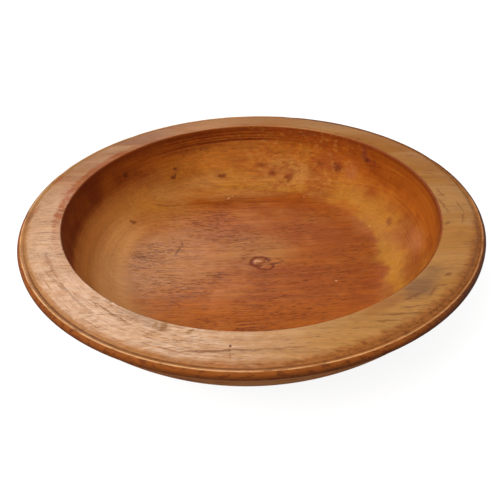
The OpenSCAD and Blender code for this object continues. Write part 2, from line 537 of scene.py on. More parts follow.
# The wood's colours and the places where they change
wood = {
    "heart": colour(164, 84, 14),
    "heartRed": colour(140, 60, 12),
    "heartPale": colour(176, 112, 54),
    # the left cove's pale sapwood, with painted light over it
    "coveLeftPaleAndLit": colour(206, 130, 58),
    "heartDark": colour(100, 38, 8),
    "sap": colour(174, 108, 34),
    "sapDark": colour(156, 84, 26),
    "sapPale": colour(180, 120, 56),
    "wall": colour(172, 90, 18),
    "wallDark": colour(138, 60, 8),
    "wallTop": colour(116, 46, 6),
    "rim": colour(172, 120, 62),
    # the pink on the left of the rim is painted sheen
    "rimSheenPink": colour(184, 140, 102),
    "rimTan": colour(158, 96, 20),
    "rimFar": colour(126, 66, 6),
    "rimOlive": colour(150, 104, 48),
    "rimMoss": colour(138, 88, 26),
    # a whitish pink film: partly worn varnish, partly painted sheen
    "rimFilmAndSheen": colour(216, 182, 160),
    "rimBare": colour(150, 92, 46),
    "rimLight": colour(188, 142, 90),
    "rimDark": colour(120, 70, 36),
    "rimRed": colour(146, 68, 4),
    "stain": colour(150, 84, 32),
    "stainDark": colour(88, 42, 14),
    "quirk": colour(84, 40, 14),
    # a painted highlight along the bead's crest, over wood rubbed bare
    "bead": colour(222, 166, 108),
    "edge": colour(134, 70, 20),
    "edgeDark": colour(92, 40, 10),
    # painted shade on the edge at the right
    "edgeShadeBlack": colour(70, 32, 12),
    "belly": colour(206, 126, 58),
    "bellyDark": colour(180, 102, 44),
    "pore": colour(74, 30, 10),
    "knot": colour(84, 32, 10),
    "knotRim": colour(126, 58, 20),
    # the knot's pale heart, partly painted highlight, and the colour of painted glints
    "knotHeartAndGlint": colour(206, 146, 100),
    "knotRed": colour(62, 16, 8),
    "grey": colour(128, 88, 58),
    "ochre": colour(184, 122, 26),
    "bark": colour(108, 34, 6),
    "rust": colour(150, 74, 30),
    "purple": colour(112, 44, 34),
    "blush": colour(178, 104, 66),
    "orange": colour(178, 92, 16),
    "farPale": colour(190, 118, 44),
    "ringPale": colour(226, 158, 92),
    "ringAt": 0.153,                # along the outline, where the left cove is palest
    "heartHeight": 0.0203,
    "pith": (0.03, -0.26),          # the log's middle, across the grain and in height
    "quirkToCrest": 0.0032,         # along the bead, from the quirk up to its crest
    "poreScale": (95, 1000, 1000),  # pores and dashes to a metre, along and across the grain
    "dashScale": (58, 400, 400),
}

# The worn satin varnish. Roughness is given from where it is glossiest to where it is dullest.
varnish = {
    "ior": 1.5,
    "specular": 0.18,
    "hollowRough": (0.4, 0.56),
    "rimRough": (0.27, 0.4),
    "bumpStrength": 0.6,
    "bumpDepth": 0.0007,
}

# Areas of another colour: middle, half sizes, turn in degrees, colour, strength. Most of those
# on the wall have a height as well. The heartwood covers the wall's, the clouds lie in it, and
# the floor's small marks lie on it.
wallPatches = [
    ((0.047, 0.168, 0.042), (0.03, 0.02, 0.013), 0, "sapPale", 0.6),
    ((0.0665, 0.156, 0.036), (0.014, 0.01, 0.018), 0, "sapPale", 0.7),
    ((0.073, 0.166, 0.058), (0.012, 0.014, 0.018), 0, "sap", 0.7),
    ((0.128, 0.126, 0.052), (0.011, 0.012, 0.013), 0, "blush", 0.4),
    ((0.1, 0.148, 0.056), (0.022, 0.02, 0.013), 0, "rust", 0.7),
    ((0.08, 0.163, 0.08), (0.06, 0.03, 0.012), 0, "wallDark", 0.7),
    ((0.1445, 0.116, 0.0725), (0.0055, 0.0055, 0.0045), 0, "purple", 0.85),
    ((0.1128, 0.1405, 0.0535), (0.008, 0.008, 0.005), 0, "purple", 0.6),
    ((0.1405, 0.1205, 0.0795), (0.004, 0.006, 0.0105), 0, "purple", 0.7),
    ((0.1515, 0.108, 0.073), (0.0035, 0.004, 0.005), 0, "purple", 0.6),
    ((0.075, 0.17, 0.0855), (0.03, 0.012, 0.0022), 0, "purple", 0.4),
    ((-0.02, 0.172, 0.059), (0.085, 0.03, 0.02), 0, "farPale", 0.62),
    ((-0.06, 0.15, 0.03), (0.035, 0.02, 0.009), 0, "sapPale", 0.7),
    ((-0.07, 0.166, 0.07), (0.05, 0.03, 0.007), 0, "wallTop", 0.45),
    ((-0.106, 0.145, 0.047), (0.03, 0.025, 0.017), 0, "sap", 0.4),
    ((-0.1, 0.145, 0.0755), (0.06, 0.05, 0.01), 0, "wallTop", 0.35),
    ((-0.1495, 0.107, 0.0668), (0.004, 0.004, 0.003), 0, "knotRed", 0.9),
    ((-0.0985, 0.145, 0.042), (0.004, 0.004, 0.002), 0, "knotRed", 0.7),
    ((-0.0965, 0.1515, 0.0495), (0.003, 0.003, 0.002), 0, "knotRed", 0.6),
    ((-0.033, 0.162, 0.032), (0.004, 0.003, 0.002), 0, "knotRed", 0.5),
    ((-0.1, 0.125, 0.03), (0.035, 0.02, 0.012), 0, "sapPale", 0.5),
    ((0.15, -0.03), (0.017, 0.085), 8, "ochre", 0.75),
    ((0.133, 0.075), (0.014, 0.06), 33, "ochre", 0.4),
    ((0.162, -0.052, 0.034), (0.014, 0.032, 0.017), 0, "wallDark", 0.7),
    ((0.117, 0.091, 0.0215), (0.024, 0.02, 0.006), 0, "heart", 0.65),
    ((0.172, -0.01, 0.045), (0.008, 0.022, 0.014), 0, "blush", 0.5),
    ((0.165, 0.075, 0.076), (0.03, 0.06, 0.018), 0, "wallTop", 0.35),
    ((0.03, 0.166, 0.034), (0.02, 0.012, 0.01), 0, "rust", 0.5),
    ((0.053, 0.158, 0.033), (0.008, 0.008, 0.009), 0, "rust", 0.6),
    ((-0.15, 0.105, 0.065), (0.014, 0.014, 0.014), 0, "wallDark", 0.6),
]
floorClouds = [
    # pale wood at the left of the floor, partly painted sheen
    ((-0.112, 0.0), (0.08, 0.08), 0, "heartPale", 0.9),
    ((-0.02, 0.137), (0.08, 0.015), 0, "heartPale", 0.8),
    ((0.002, 0.018), (0.046, 0.034), 0, "heartPale", 0.75),
    ((-0.092, 0.092), (0.045, 0.028), 0, "heartPale", 0.7),
    ((-0.1, -0.085), (0.03, 0.02), 0, "heartPale", 0.5),
    ((-0.068, -0.075), (0.054, 0.026), -10, "orange", 0.75),
    ((0.03, -0.1), (0.1, 0.03), 0, "orange", 0.4),
    ((-0.058, 0.082), (0.03, 0.024), 0, "orange", 0.35),
    ((0.02, 0.118), (0.08, 0.015), 0, "heartRed", 0.4),
    ((0.09, 0.05), (0.05, 0.04), 0, "heartRed", 0.3),
]
floorPatches = [
    ((-0.083, 0.018), (0.0013, 0.012), -14, "heartDark", 0.8),
    ((-0.079, 0.03), (0.0012, 0.006), 20, "heartDark", 0.6),
    ((-0.012, 0.1255), (0.03, 0.0011), -2, "knot", 0.55),
    ((-0.02, 0.122), (0.022, 0.0009), 3, "knot", 0.5),
    ((0.02, 0.117), (0.034, 0.001), -1, "knot", 0.5),
    ((0.052, 0.109), (0.03, 0.001), 0, "heartRed", 0.7),
    ((0.006, 0.103), (0.04, 0.001), 1, "heartRed", 0.7),
    ((-0.1, 0.108), (0.026, 0.0008), 12, "knot", 0.5),
    ((-0.013, -0.006), (0.012, 0.009), 0, "heartRed", 0.4),
    ((0.012, 0.006), (0.014, 0.005), 0, "heartPale", 0.6),
    ((0.026, -0.009), (0.0065, 0.0016), 8, "knot", 0.75),
    ((0.0195, -0.0105), (0.004, 0.0014), 30, "knot", 0.6),
    # the knot's pale heart, partly painted highlight
    ((0.0065, -0.0048), (0.0048, 0.003), 0, "knotHeartAndGlint", 1.0),
    ((0.017, -0.0035), (0.0028, 0.0012), 40, "knotHeartAndGlint", 0.7),
    # pale specks: painted glints
    ((-0.023, 0.132), (0.0012, 0.0012), 0, "knotHeartAndGlint", 1.0),
    ((-0.027, 0.127), (0.0012, 0.0035), -30, "knotHeartAndGlint", 0.7),
    ((0.069, 0.123), (0.0012, 0.0014), 0, "knotHeartAndGlint", 0.9),
    ((0.138, 0.05), (0.001, 0.0016), 0, "knotHeartAndGlint", 1.0),
    ((0.086, -0.043), (0.0012, 0.0012), 0, "knotHeartAndGlint", 0.8),
    ((-0.07, -0.047), (0.0026, 0.0012), 0, "knotHeartAndGlint", 0.8),
]
rimPatches = [
    ((0.133, -0.142), (0.02, 0.011), 38, "grey", 0.85),
    ((0.102, -0.16), (0.026, 0.007), 32, "rimBare", 0.7),
    ((0.15, -0.122), (0.012, 0.008), 38, "grey", 0.45),
    ((0.126, -0.152), (0.011, 0.0014), 30, "rimDark", 0.6),
    ((0.142, -0.147), (0.009, 0.0012), 50, "rimDark", 0.5),
    ((0.108, -0.172), (0.014, 0.0012), 4, "rimDark", 0.7),
    ((0.098, -0.179), (0.012, 0.001), 2, "rimDark", 0.6),
    ((0.12, -0.165), (0.01, 0.001), 6, "rimDark", 0.6),
    # a pale film at the front left of the rim, partly worn varnish and partly painted sheen
    ((-0.13, -0.165), (0.05, 0.014), -38, "rimFilmAndSheen", 0.12),
    ((-0.082, -0.171), (0.03, 0.005), -32, "grey", 0.45),
    ((-0.2, -0.01), (0.02, 0.05), 0, "rimBare", 0.25),
    ((-0.15, -0.135), (0.034, 0.0013), -46, "rimDark", 0.55),
    ((-0.112, -0.16), (0.03, 0.001), -36, "rimDark", 0.65),
    ((-0.176, -0.095), (0.02, 0.0012), -62, "rimDark", 0.5),
    ((-0.024, -0.204), (0.034, 0.0011), 0, "rimDark", 0.75),
    ((0.02, -0.2025), (0.02, 0.0008), 2, "rimDark", 0.5),
    ((-0.067, -0.177), (0.003, 0.0055), 12, "rimMoss", 0.8),
    ((-0.073, -0.176), (0.0014, 0.004), -14, "rimMoss", 0.7),
    ((-0.047, -0.184), (0.004, 0.0025), 20, "rimMoss", 0.7),
    ((-0.0174, -0.2002), (0.0013, 0.0013), 0, "knot", 1.0),
    ((-0.0172, -0.208), (0.0006, 0.007), 0, "rimDark", 0.4),
    ((-0.19, -0.05), (0.014, 0.0013), 0, "rimDark", 0.6),
    ((-0.192, -0.036), (0.012, 0.001), 0, "rimDark", 0.5),
    ((-0.19, 0.03), (0.009, 0.02), 0, "rimRed", 0.4),
    ((-0.177, -0.095), (0.014, 0.004), -60, "rimBare", 0.45),
    ((-0.21, 0.055), (0.006, 0.012), 0, "rimRed", 0.55),
    ((-0.217, -0.02), (0.004, 0.012), 0, "rimDark", 0.6),
    ((-0.214, -0.008), (0.003, 0.008), 0, "rimRed", 0.5),
    ((0.192, -0.002), (0.005, 0.001), 4, "rimDark", 0.8),
    ((0.1915, -0.0115), (0.0045, 0.0009), 0, "rimDark", 0.7),
    ((0.183, -0.053), (0.0045, 0.002), 20, "rimDark", 0.6),
    ((0.2045, -0.024), (0.0009, 0.011), 0, "rimDark", 0.55),
    ((0.2, -0.045), (0.0009, 0.012), -21, "rimDark", 0.55),
    ((0.16, -0.127), (0.0045, 0.0016), 30, "rimDark", 0.7),
    ((0.151, -0.14), (0.006, 0.0012), 12, "rimDark", 0.6),
    ((0.189, -0.02), (0.0012, 0.014), 8, "rimDark", 0.6),
    ((0.1935, 0.004), (0.0011, 0.011), 14, "rimDark", 0.55),
    ((0.196, 0.05), (0.007, 0.0012), -22, "rimDark", 0.8),
    ((0.193, 0.043), (0.006, 0.001), -30, "rimDark", 0.6),
    ((0.184, 0.088), (0.012, 0.001), -14, "rimDark", 0.6),
]


def makeGroup(name, sockets, result):
    # sockets gives each input's kind, in order; the one output has the name and kind of result
    group = bpy.data.node_groups.new(name, "ShaderNodeTree")
    for label, kind in sockets.items():
        group.interface.new_socket(name=label, in_out="INPUT", socket_type="NodeSocket" + kind)
    group.interface.new_socket(name=result[0], in_out="OUTPUT",
                               socket_type="NodeSocket" + result[1])
    return group, Shader(group), group.nodes.new("NodeGroupInput").outputs


def finishGroup(group, value):
    group.links.new(value, group.nodes.new("NodeGroupOutput").inputs[0])


def makePatchGroup():
    # lays a colour on a tone: fully in the patch's middle, not at all outside it
    group, shader, entry = makeGroup("patch", {"Tone": "Color", "Tint": "Color", "Spots": "Vector",
                                               "Place": "Vector", "Scale": "Vector",
                                               "Turn": "Float", "Share": "Float"},
                                     ("Tone", "Color"))
    away = shader.put("VectorMath", {0: entry["Spots"], 1: entry["Place"]}, operation="SUBTRACT")
    turned = shader.put("VectorRotate", {"Vector": away.outputs[0], "Angle": entry["Turn"]},
                        rotation_type="Z_AXIS").outputs[0]
    gap = shader.length(shader.stretch(turned, entry["Scale"]))
    share = shader.fade(gap, 1.35, 0.35, 0.0, entry["Share"])
    finishGroup(group, shader.mix(share, entry["Tone"], entry["Tint"]))
    return group


def makeKnotGroup():
    # the darker of a mask and of one knot
    group, shader, entry = makeGroup("knotSpot", {"Dark": "Float", "Spots": "Vector",
                                                  "Place": "Vector", "Scale": "Vector",
                                                  "Share": "Float"}, ("Dark", "Float"))
    away = shader.put("VectorMath", {0: entry["Spots"], 1: entry["Place"]}, operation="SUBTRACT")
    gap = shader.length(shader.stretch(away.outputs[0], entry["Scale"]))
    here = shader.fade(gap, 1.3, 0.1, 0.0, entry["Share"])
    finishGroup(group, shader.most(entry["Dark"], here))
    return group


def knotMask(shader, spots):
    # the dark wood of every knot
    group = makeKnotGroup()
    dark = 0.0
    for knot in knots:
        wide, deep = knot["size"]
        dark = shader.put("Group", {"Dark": dark, "Spots": spots, "Place": knot["at"],
                                    "Scale": (1 / wide, 1 / deep, 1 / deep),
                                    "Share": knot["depth"]}, node_tree=group).outputs[0]
    return dark


def curlMask(shader, spots, z):
    # the bark lines that curl round the floor's knot
    lines = 0.0
    for curl in curls:
        wide, deep = curl["size"]
        cx, cy = curl["at"]
        away = shader.stretch(shader.shift(spots, (-cx, -cy, 0)), (1 / wide, 1 / deep, 0))
        gap = shader.apart(shader.length(away), 1.0)
        way = Vector((*curl["open"], 0)).normalized()
        side = shader.put("VectorMath", {0: away, 1: way}, operation="DOT_PRODUCT")
        shut = shader.fade(side.outputs["Value"], curl["from"] + 0.35, curl["from"])
        line = shader.fade(gap, curl["width"] * 1.7, curl["width"] * 0.3)
        lines = shader.most(lines, shader.times(line, shut, curl["share"]))
    return shader.times(lines, shader.fade(z, 0.03, 0.02))


def tinted(shader, group, tone, spots, patchList):
    # the colour after patches are laid on it, with the outline that spots gives them
    for place, size, turn, tint, share in patchList:
        if len(place) == 2:
            place, size = (*place, 0), (*size, 0)
        tone = shader.put("Group", {"Tone": tone, "Tint": wood[tint], "Spots": spots,
                                    "Place": place, "Scale": [1 / c if c else 0 for c in size],
                                    "Turn": -radians(turn), "Share": share},
                          node_tree=group).outputs[0]
    return tone


def woodPlaces(shader):
    # where a point lies, how the grain runs through it, and the patterns that the colours share
    fade, times = shader.fade, shader.times
    w = SimpleNamespace()
    w.spot = shader.put("TexCoord").outputs["Object"]
    w.along = shader.put("Attribute", attribute_name="along").outputs["Fac"]
    w.x, w.y, w.z = shader.put("SeparateXYZ", {0: w.spot}).outputs
    w.flat = shader.stretch(w.spot, (1, 1, 0))

    # the grain runs along X, drifts a little and parts round the floor's knot
    away = shader.shift(w.spot, tuple(-c for c in knots[0]["at"]))
    gap = shader.length(shader.stretch(away, (30, 52, 52)))
    pinch = shader.put("VectorMath", {0: away, "Scale": fade(gap, 1.6, 0.2, 0.0, -0.5)},
                       operation="SCALE").outputs[0]
    w.grain = shader.shift(shader.shaken(w.spot, w.spot, "drift"), shader.stretch(pinch, (0, 1, 1)))
    w.ragged = shader.shaken(w.spot, w.spot, "ragged")
    w.frayed = shader.shaken(w.spot, w.spot, "frayed")
    w.torn = shader.shaken(w.spot, w.spot, "torn")
    w.gnarled = shader.shaken(w.ragged, w.spot, "gnarled")
    w.curled = shader.shaken(w.ragged, w.spot, "curled")
    for name in ("broad", "streak", "fibre", "fine", "scratch", "speckle"):
        setattr(w, name, shader.pattern(w.grain, name))
    for name in ("cloud", "mottle", "flow", "film", "flecks", "scales", "crowd"):
        setattr(w, name, shader.pattern(w.spot, name))
    w.strokes = fade(w.scratch, 0.55, 0.68)
    w.hatch = times(fade(shader.apart(w.scratch, 0.47), 0.04, 0.008), fade(w.flow, 0.38, 0.56))

    # growth rings lie round the log's middle
    pithY, pithZ = wood["pith"]
    fromPith = shader.length(shader.stretch(shader.shift(w.grain, (0, -pithY, -pithZ)), (0, 1, 1)))
    w.rings = shader.pattern(shader.joined(fromPith, times(w.x, 0.02)), "rings")

    # pores: long cells along the grain, which show as dashes or, on end grain, as dots
    poreGap = shader.cells(shader.stretch(w.grain, wood["poreScale"]))
    w.pores = times(fade(poreGap, 0.36, 0.14), fade(w.crowd, 0.38, 0.62))
    dashGap = shader.cells(shader.stretch(shader.shift(w.grain, (0.3, 0.1, 0.2)),
                                          wood["dashScale"]))
    w.dashes = times(fade(dashGap, 0.3, 0.1), fade(w.streak, 0.56, 0.42), fade(w.crowd, 0.4, 0.6))

    # the turned stretches: the cove with its wall, and the rim's top out from the lip
    w.turnLine = shader.joined(0.0, 0.0, times(w.along, 620))
    turnPlace = shader.joined(shader.add(w.along, times(w.cloud, 0.002)))
    w.turning = shader.pattern(turnPlace, "turning")
    foot, top = outlineEnds["floor"], outlineEnds["wall"]
    w.cove = times(fade(w.along, foot, foot + 0.02), fade(w.along, top, top - 0.004))
    w.endGrain = times(w.cove, fade(shader.math("ABSOLUTE", w.x), 0.07, 0.14))
    w.lipAlong = shader.less(w.along, fade(w.x, 0.09, 0.15, 0.0, 0.0011))
    w.rimTop = fade(w.lipAlong, outlineEnds["lip"] - 0.0018, outlineEnds["lip"] - 0.0008)
    # where the painted shade just inside the lip lies
    w.underRim = fade(w.lipAlong, outlineEnds["lip"] - 0.0008, outlineEnds["lip"] - 0.0018)
    # the front left of the rim, where the varnish is worn and where sheen is painted
    w.worn = times(fade(w.x, 0.06, -0.06), fade(w.y, -0.02, -0.11, 0.12, 1.0))
    w.farLeft = times(fade(w.x, -0.05, -0.13), fade(w.y, 0.0, 0.09, 0.0, 0.85))
    return w


def heartMask(shader, w):
    # heartwood ends on a wavy level, which the turned floor cuts as a ragged ring
    fade, times, less = shader.fade, shader.times, shader.less
    edgeWaver = shader.pattern(w.frayed, "waver")
    level = shader.add(w.z, times(less(edgeWaver, 0.5), 0.0075),
                       times(less(w.scratch, 0.5), 0.0035), times(less(w.mottle, 0.5), 0.002))
    level = less(level, fade(w.x, -0.1, -0.145, 0.0, 0.005))
    blur = fade(w.x, -0.09, -0.13, 0.0008, 0.003)
    return fade(level, shader.add(blur, wood["heartHeight"]), less(wood["heartHeight"], blur))


def heartColours(shader, w, patchGroup):
    # the reddish floor, palest and most scratched at the left, where part of the paleness is
    # painted sheen
    fade, times, lay = shader.fade, shader.times, shader.lay
    leftFloor = times(fade(w.x, 0.045, -0.02),
                      fade(w.along, floorRadius + 0.02, floorRadius - 0.02))
    tone = lay(wood["heart"], "heartRed", fade(w.broad, 0.48, 0.64), 0.35)
    tone = lay(tone, "heartRed", fade(w.flow, 0.5, 0.64, 0.0, 0.4))
    tone = lay(tone, "heartPale", fade(w.flow, 0.5, 0.36, 0.0, 0.35))
    tone = lay(tone, "heartRed", fade(w.streak, 0.52, 0.7), 0.4)
    tone = tinted(shader, patchGroup, tone, w.frayed, floorClouds)
    tone = lay(tone, "heartDark", w.strokes, fade(leftFloor, 0, 1, 0.2, 0.4))
    tone = lay(tone, "heartDark", w.hatch, fade(leftFloor, 0, 1, 0.25, 1.0))
    return lay(tone, "heartPale", fade(w.scratch, 0.42, 0.32, 0.0, 0.25))


def sapColours(shader, w, patchGroup):
    # sapwood: ochre at the foot of the wall, browner and darker towards the lip, where the dark is
    # partly the wood's own and partly painted shade under the rim
    fade, times, lay = shader.fade, shader.times, shader.lay
    sapTone = lay(wood["sap"], "sapDark", fade(w.cloud, 0.42, 0.62))
    sapTone = lay(sapTone, "sapPale", fade(w.broad, 0.5, 0.35), 0.5)
    wallTone = lay(wood["wall"], "wallDark", fade(w.cloud, 0.4, 0.7))
    climb = shader.add(w.z, times(shader.less(w.cloud, 0.5), 0.022))
    tone = shader.mix(fade(climb, 0.03, 0.062), sapTone, wallTone)
    high = shader.add(w.z, times(shader.less(w.mottle, 0.5), 0.012))
    # painted shade under the rim, over the wood's darker top, weaker at the lit right wall
    tone = lay(tone, "wallTop", fade(high, 0.074, 0.088, 0.0, 0.7), fade(w.x, 0.16, 0.02, 0.3, 1.0))
    tone = tinted(shader, patchGroup, tone, w.torn, wallPatches)

    # scaly mottling at the far right, and a pale cove at the left: pale sapwood with painted light
    # over it, where the cove faces away from the lamps
    scaly = times(fade(w.y, 0.1, 0.14), fade(w.x, -0.05, 0.01))
    tone = lay(tone, "rust", scaly, fade(w.scales, 0.52, 0.6, 0.0, 0.6))
    tone = lay(tone, "sapPale", scaly, fade(w.scales, 0.47, 0.38, 0.0, 0.45))
    tone = lay(tone, "coveLeftPaleAndLit", fade(w.x, -0.095, -0.15), fade(w.y, 0.1, 0.03, 0.4, 1.0),
               fade(climb, 0.07, 0.041, 0.0, 0.9))

    # bands round the right wall
    bands = shader.pattern(shader.joined(shader.add(w.along, times(w.cloud, 0.006))), "bands")
    rightWall = times(fade(w.x, 0.12, 0.165), fade(climb, 0.045, 0.065), fade(w.flow, 0.35, 0.6))
    tone = lay(tone, "wallDark", rightWall, fade(bands, 0.5, 0.62, 0.0, 0.35))
    return lay(tone, "ochre", rightWall, fade(bands, 0.48, 0.36, 0.0, 0.25))


def hollowColours(shader, w, patchGroup, heart):
    # floor and wall together, with the gouge's marks
    fade, times, lay = shader.fade, shader.times, shader.lay
    tone = shader.mix(heart, sapColours(shader, w, patchGroup), heartColours(shader, w, patchGroup))
    ringGap = shader.apart(w.along, wood["ringAt"])
    tone = lay(tone, "ringPale", fade(ringGap, 0.026, 0.008, 0.0, 0.6), fade(w.x, -0.08, -0.14),
               fade(w.y, 0.1, 0.035))
    tone = tinted(shader, patchGroup, tone, w.ragged, floorPatches)

    # fine lines that the gouge left round the cove and under the lip; the pale ones, strongest on
    # the left wall, are painted highlights along the lines
    leftWall = times(w.cove, fade(w.x, -0.06, -0.13))
    lines = times(fade(w.turning, 0.54, 0.66), fade(w.cloud, 0.3, 0.7, 0.15, 0.6))
    lines = shader.add(lines, times(leftWall, fade(w.turning, 0.5, 0.6, 0.0, 0.2)))
    tone = lay(tone, "wallTop", lines, fade(w.x, -0.13, -0.06, 0.55, 1.0), w.cove)
    # painted highlights along the gouge lines
    tone = lay(tone, "sapPale", fade(w.turning, 0.46, 0.34),
               shader.add(times(w.cove, 0.2), times(leftWall, 0.4)))
    farGrooves = times(w.cove, fade(w.y, -0.05, 0.12), fade(w.x, 0.09, 0.0),
                       fade(w.x, -0.14, -0.08), fade(w.cloud, 0.3, 0.6, 0.3, 1.0))
    groovePlace = shader.add(w.z, times(w.cloud, 0.0012))
    for groove in grooves:
        gap = shader.apart(groovePlace, bowlHeight - groove["below"] + 0.0006)
        rut = fade(gap, groove["width"] * 1.4, groove["width"] * 0.4, 0.0, 0.9)
        tone = lay(tone, "wallTop", rut, farGrooves)
    return tone


def rimColours(shader, w, patchGroup):
    # the rim is paler, where handling has worn its varnish, and pinkest on the left, where the pink
    # is painted sheen
    fade, times, lay = shader.fade, shader.times, shader.lay
    tone = lay(wood["rim"], "rimSheenPink", fade(w.x, 0.09, -0.06))
    tone = lay(tone, "rimTan", fade(w.y, -0.02, 0.09))
    tone = lay(tone, "rimFar", w.farLeft)
    tone = lay(tone, "rimTan", fade(w.x, 0.12, 0.2, 0.0, 0.5))
    tone = lay(tone, "rimLight", fade(w.broad, 0.45, 0.62), 0.35)
    tone = lay(tone, "rimTan", fade(w.streak, 0.54, 0.72), 0.3)
    tone = lay(tone, "rimDark", fade(w.mottle, 0.58, 0.72), 0.2)

    # worn film, thickest at the front left, with scuffs that run out from the middle; its whitish
    # pink is painted sheen over the real wear, and so are the scuffs' pale streaks
    tone = lay(tone, "rimFilmAndSheen", w.worn, fade(w.film, 0.49, 0.56, 0.0, 0.22))
    tone = lay(tone, "rimBare", w.worn, fade(w.film, 0.47, 0.4, 0.0, 0.35))
    way = shader.put("VectorMath", {0: w.flat}, operation="NORMALIZE").outputs[0]
    turned = shader.put("VectorMath", {0: way, 1: (9, 9, 9), 2: w.turnLine},
                        operation="MULTIPLY_ADD").outputs[0]
    scuffs = shader.pattern(turned, "scuffs")
    scuffed = times(w.worn, fade(w.y, -0.08, -0.135, 0.25, 1.0))
    tone = lay(tone, "rimFilmAndSheen", scuffed, fade(scuffs, 0.53, 0.6, 0.0, 0.38))
    tone = lay(tone, "rimBare", scuffed, fade(scuffs, 0.45, 0.39, 0.0, 0.75))

    # a red line along the far lip, strokes at the left, flecks and an olive outer band
    lineGap = shader.apart(w.along, outlineEnds["lip"] + 0.0028)
    tone = lay(tone, "rimRed", fade(lineGap, 0.002, 0.0005), fade(w.y, 0.08, 0.15),
               fade(w.film, 0.4, 0.55, 0.3, 0.7))
    tone = lay(tone, "rimBare", fade(w.x, -0.12, -0.17), fade(w.y, -0.1, -0.04), w.strokes, 0.5)
    tone = lay(tone, "rimBare", fade(w.flecks, 0.6, 0.68), fade(w.flow, 0.45, 0.6), 0.45)
    outer = fade(shader.add(w.along, times(shader.less(w.film, 0.5), 0.012)),
                 outlineEnds["rim"] + 0.0005, outlineEnds["rim"] + 0.004)
    tone = lay(tone, "rimOlive", outer, fade(w.x, 0.02, -0.1, 0.0, 0.75))
    return tinted(shader, patchGroup, tone, w.ragged, rimPatches)


def lipColours(shader, w, tone):
    # dark, reddish painted shade just inside the lip, with a band of painted shade below it at the
    # left; a red stain lies along the lip at the left
    fade, times, lay = shader.fade, shader.times, shader.lay
    lip = outlineEnds["lip"]
    lipPlace = shader.less(w.along, times(shader.less(w.film, 0.5), 0.014))
    w.lipStain = times(fade(shader.apart(lipPlace, lip + 0.0015), 0.0068, 0.003),
                       fade(w.x, -0.1, -0.16), fade(w.y, -0.09, -0.01, 0.25, 0.9),
                       fade(w.film, 0.42, 0.54, 0.45, 1.0))
    tone = lay(tone, "rimRed", w.lipStain)
    # painted shade just inside the lip, most at the right
    tone = lay(tone, "wallTop", fade(w.along, lip - 0.008, lip - 0.003), w.underRim,
               fade(w.x, 0.09, 0.15, 0.45, 0.7))
    # painted shade: a band down the left wall below the lip
    return lay(tone, "wallTop", fade(w.along, lip - 0.041, lip - 0.029), fade(w.x, -0.08, -0.16),
               fade(w.along, lip - 0.0008, lip - 0.0018), fade(w.y, 0.14, 0.04),
               fade(w.cloud, 0.3, 0.6, 0.45, 0.85))


def edgeColours(shader, w, tone):
    # stain gathers on the shoulder, most on the right, and the quirk is painted darker
    fade, times, less, lay = shader.fade, shader.times, shader.less, shader.lay
    rimEnd = outlineEnds["rim"]
    quirkAt = outlineEnds["shoulder"]
    crestAt = quirkAt + wood["quirkToCrest"]
    front = times(fade(w.x, -0.02, 0.1), fade(w.y, -0.01, -0.09))
    gather = shader.add(w.along, times(less(w.speckle, 0.5), 0.011),
                        times(less(w.cloud, 0.5), 0.01), times(front, 0.0032))
    gather = less(gather, fade(w.y, -0.1, 0.05, 0.0, 0.0032))
    tone = lay(tone, "stain", fade(gather, rimEnd - 0.002, rimEnd + 0.005),
               fade(w.x, -0.1, 0.05, 0.45, 0.75), fade(w.y, 0.03, -0.07, 0.25, 1.0))
    tone = lay(tone, "stainDark", fade(gather, rimEnd - 0.002, rimEnd + 0.006),
               fade(w.speckle, 0.48, 0.66), fade(front, 0, 1, 0.1, 0.5))
    w.quirkGap = shader.apart(w.along, quirkAt - 0.0003)
    clean = times(fade(w.x, *wear["wornFrom"]), fade(w.y, *wear["wornBehind"]))
    tone = lay(tone, "quirk", fade(w.quirkGap, fade(w.x, 0.05, 0.15, 0.0011, 0.0008), 0.0003),
               less(fade(w.x, -0.06, 0.1, 0.75, 0.5), times(clean, 0.4)),
               fade(w.y, -0.12, 0.0, 1.0, 0.5), fade(w.speckle, 0.3, 0.6, 0.6, 1.0))

    # the edge below the bead is stained brown again; painted shade darkens it towards its foot and
    # makes it blackest at the right
    band = lay(wood["edge"], "edgeDark", fade(w.speckle, 0.5, 0.62, 0.0, 0.75))
    # painted shade, darker towards the edge's foot
    band = lay(band, "edgeDark", fade(w.along, crestAt + 0.0012, outlineEnds["edge"] - 0.002), 0.55)
    band = lay(band, "edgeShadeBlack", fade(w.x, 0.1, 0.18), fade(w.y, 0.03, -0.05, 0.3, 0.65))
    tone = shader.mix(fade(w.along, crestAt - 0.0006, crestAt + 0.0012), tone, band)

    # the bead's crest carries a thin pale line, a painted highlight over wood rubbed bare, apart
    # from the far right, where the whole edge is dark
    farEdge = times(fade(w.x, 0.0, 0.1), fade(w.y, -0.03, 0.05))
    tone = lay(tone, "edgeDark", fade(w.along, quirkAt + 0.0002, quirkAt + 0.0014, 0.0, 0.85),
               farEdge)
    # painted highlight on the bead's crest
    crestGap = shader.apart(w.along, crestAt - 0.0002)
    return lay(tone, "bead", fade(crestGap, 0.0007, 0.0002), fade(w.mottle, 0.7, 0.45),
               fade(farEdge, 0, 1, 1.0, 0.1), fade(w.x, 0.05, 0.17, 0.78, 0.45))


def bellyColours(shader, w, heart):
    # the underside, with the heartwood showing again low down
    fade, lay = shader.fade, shader.lay
    tone = lay(wood["belly"], "bellyDark", fade(w.cloud, 0.35, 0.65))
    tone = lay(tone, "heart", heart, 0.6)
    tone = lay(tone, "edgeDark", fade(w.broad, 0.47, 0.62, 0.0, 0.5))
    tone = lay(tone, "edgeDark", fade(w.streak, 0.52, 0.66, 0.0, 0.5))
    return lay(tone, "sap", fade(w.streak, 0.46, 0.34, 0.0, 0.4))


